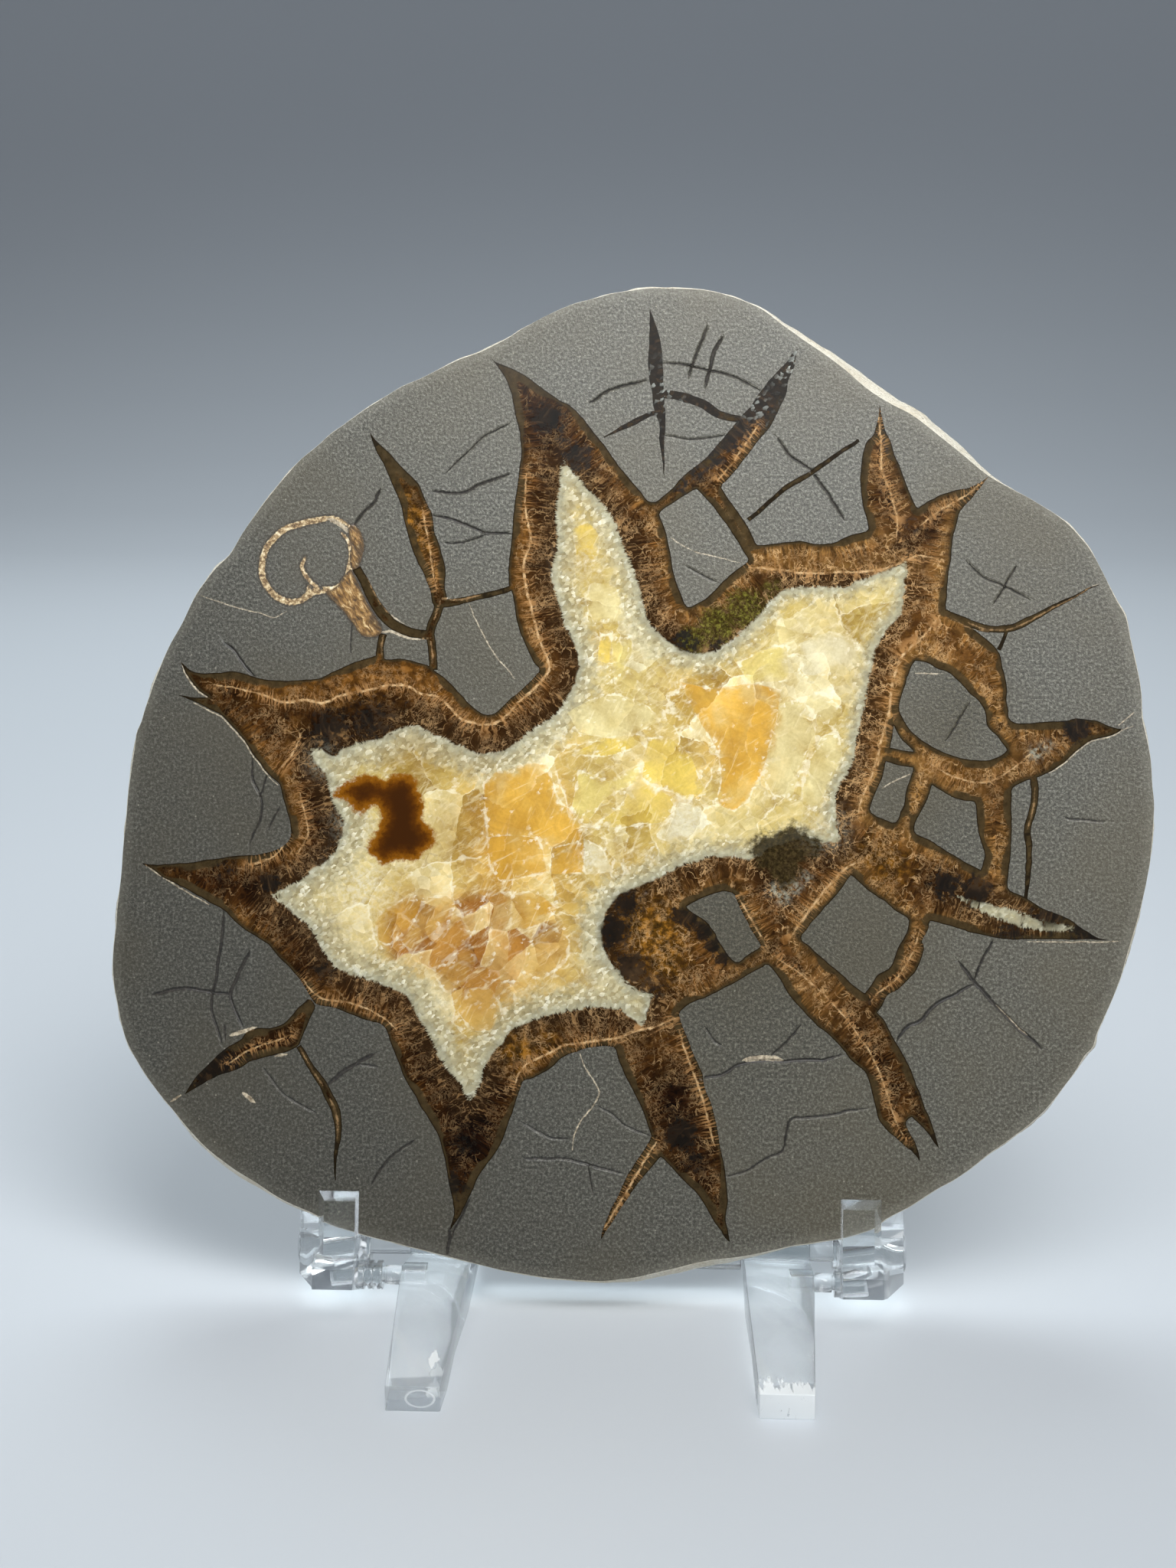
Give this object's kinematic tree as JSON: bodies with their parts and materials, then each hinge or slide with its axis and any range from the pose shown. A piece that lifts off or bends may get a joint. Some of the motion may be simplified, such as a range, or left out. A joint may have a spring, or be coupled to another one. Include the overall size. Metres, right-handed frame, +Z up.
{
  "type": "septarian nodule slice on a clear easel",
  "caption": "Polished septarian nodule slice with brown veins and a yellow calcite core, leaning on a low clear plastic easel with slotted arms.",
  "frame": {"origin": "on the table, under the middle of the whole object's plan box", "axes": "+X to the viewer's right, +Y towards the back, +Z up; the polished face looks towards -Y and leans back 15 degrees"},
  "size_m": [0.1358, 0.074, 0.1308],
  "materials": {
    "stone": "polished limestone concretion with brown aragonite veins and a translucent yellow calcite core, natural rind on the edge",
    "clear_plastic": "clear moulded polystyrene or acrylic, glossy"
  },
  "bodies": {
    "root": {"septarian_slab": "stone", "left_arm": "clear_plastic", "right_arm": "clear_plastic", "left_leg": "clear_plastic", "right_leg": "clear_plastic", "cross_rod": "clear_plastic", "left_pin": "clear_plastic", "right_pin": "clear_plastic"}
  },
  "joints": []
}
